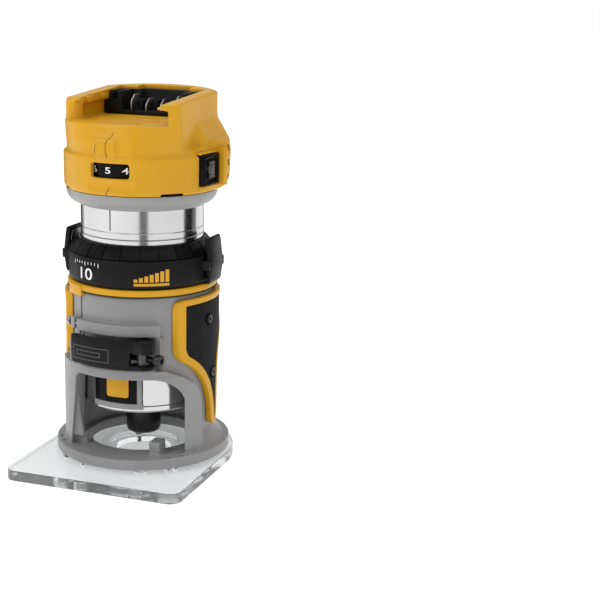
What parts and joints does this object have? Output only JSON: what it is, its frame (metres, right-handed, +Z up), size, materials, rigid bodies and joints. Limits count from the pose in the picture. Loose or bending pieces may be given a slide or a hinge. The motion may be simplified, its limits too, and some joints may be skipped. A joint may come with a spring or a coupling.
{
  "type": "trim router",
  "caption": "Compact cordless trim router in its fixed base, with clear sub-base plate, clamping lever, depth ring, speed dial, rocker switch and battery bay.",
  "frame": {"origin": "centre of the bounding box at the sub-base's bottom face, on the surface it stands on", "axes": "+Z up along the spindle, -Y towards the sub-base's long front edge, where the lever is; +X the operator's right"},
  "size_m": [0.1042, 0.123, 0.2107],
  "materials": {
    "yellow_plastic": "satin moulded plastic",
    "clear_plate": "clear acrylic sheet with polished faces",
    "grey_casting": "grey painted casting",
    "black_plastic": "satin black moulded plastic",
    "black_rubber": "soft matt grip with raised dots",
    "grey_plastic": "satin grey moulded plastic",
    "polished_can": "fine turned and polished",
    "steel": "machined steel",
    "black_steel": "black oxide screws",
    "copper_winding": "enamelled winding",
    "board_green": "coated circuit board",
    "clear_lens": "clear moulded lens"
  },
  "bodies": {
    "base": {"sub_base": "clear_plate", "base_body": "grey_casting", "clamp_stud": "steel", "clamp_nut": "steel", "clamp_bolt": "black_steel", "pivot_barrel": "steel", "grip_frame_left": "yellow_plastic", "grip_frame_right": "yellow_plastic", "grip_pad_left": "black_rubber", "grip_pad_right": "black_rubber", "plate_screw_1": "black_steel", "plate_screw_2": "black_steel", "plate_screw_3": "black_steel", "plate_screw_4": "black_steel", "grip_screw_left_upper": "black_steel", "grip_screw_left_lower": "black_steel", "grip_screw_right_upper": "black_steel", "grip_screw_right_lower": "black_steel", "collar_ring": "yellow_plastic"},
    "locking_lever": {"locking_lever": "black_plastic"},
    "release_collar": {"release_collar": "black_plastic", "tab_pin_left": "steel", "tab_pin_right": "steel", "tab_spring_left": "steel", "tab_spring_right": "steel"},
    "depth_ring": {"depth_ring": "black_plastic"},
    "tab_left": {"tab_left": "black_plastic"},
    "tab_right": {"tab_right": "black_plastic"},
    "motor": {"motor_can": "polished_can", "lower_bezel": "grey_plastic", "housing_left": "yellow_plastic", "housing_right": "yellow_plastic", "housing_screw_1": "black_steel", "housing_screw_2": "black_steel", "housing_screw_3": "black_steel", "housing_screw_4": "black_steel", "terminal_block": "black_plastic", "terminal_blade_1": "steel", "terminal_blade_2": "steel", "terminal_blade_3": "steel", "terminal_blade_4": "steel", "switch_frame": "black_plastic", "dial_axle": "steel", "circuit_board": "board_green", "stator": "copper_winding", "lower_bearing": "steel", "upper_bearing": "steel", "bearing_plate": "steel", "lock_plate": "black_plastic", "light_lens_left": "clear_lens", "light_lens_right": "clear_lens"},
    "speed_dial": {"speed_dial": "black_plastic"},
    "power_rocker": {"power_rocker": "black_plastic"},
    "lock_button": {"lock_button": "yellow_plastic", "lock_spring": "steel"},
    "spindle": {"spindle_shaft": "steel", "rotor": "steel", "cooling_fan": "black_plastic", "collet": "steel"},
    "collet_nut": {"collet_nut": "black_steel"}
  },
  "joints": [
    {"name": "locking_lever_swing", "type": "hinge", "parent": "base", "child": "locking_lever", "pos_m": [0.02, -0.03355, 0.072], "axis": [0, 0, 1], "range_deg": [0, 100]},
    {"name": "release_collar_lift", "type": "slide", "parent": "base", "child": "release_collar", "axis": [0, 0, 1], "range_m": [0, 0.095]},
    {"name": "depth_ring_turn", "type": "hinge", "parent": "release_collar", "child": "depth_ring", "pos_m": [0, 0.00945, 0.126], "axis": [0, 0, 1], "range_deg": [-396, 684]},
    {"name": "motor_depth", "type": "slide", "parent": "release_collar", "child": "motor", "axis": [0, 0, 1], "range_m": [-0.01397, 0.02413]},
    {"name": "tab_left_press", "type": "hinge", "parent": "release_collar", "child": "tab_left", "pos_m": [-0.0435, 0.00945, 0.117], "axis": [0, 1, 0], "range_deg": [0, 5], "stiffness_Nm_per_rad": 0.1, "springref_deg": -5.73},
    {"name": "tab_right_press", "type": "hinge", "parent": "release_collar", "child": "tab_right", "pos_m": [0.0435, 0.00945, 0.117], "axis": [0, 1, 0], "range_deg": [-5, 0], "stiffness_Nm_per_rad": 0.1, "springref_deg": 5.73},
    {"name": "speed_dial_turn", "type": "hinge", "parent": "motor", "child": "speed_dial", "pos_m": [0.0007, -0.01465, 0.171], "axis": [0, 0, 1], "range_deg": [-124, 62]},
    {"name": "power_rocker_tilt", "type": "hinge", "parent": "motor", "child": "power_rocker", "pos_m": [0.04154, 0.00324, 0.17], "axis": [0.1478, 0.989, 0], "range_deg": [-7, 7]},
    {"name": "lock_button_press", "type": "slide", "parent": "motor", "child": "lock_button", "axis": [0, 1, 0], "range_m": [0, 0.003], "stiffness_N_per_m": 400, "springref_m": -0.003},
    {"name": "spindle_spin", "type": "hinge", "parent": "motor", "child": "spindle", "pos_m": [0, 0.00945, 0.08], "axis": [0, 0, 1], "continuous": true},
    {"name": "collet_nut_turn", "type": "hinge", "parent": "spindle", "child": "collet_nut", "pos_m": [0, 0.00945, 0.023], "axis": [0, 0, 1], "range_deg": [0, 180]}
  ],
  "couplings": [
    {"joint": "motor_depth", "follows": "depth_ring_turn", "m_per_rad": 0.0020213}
  ]
}
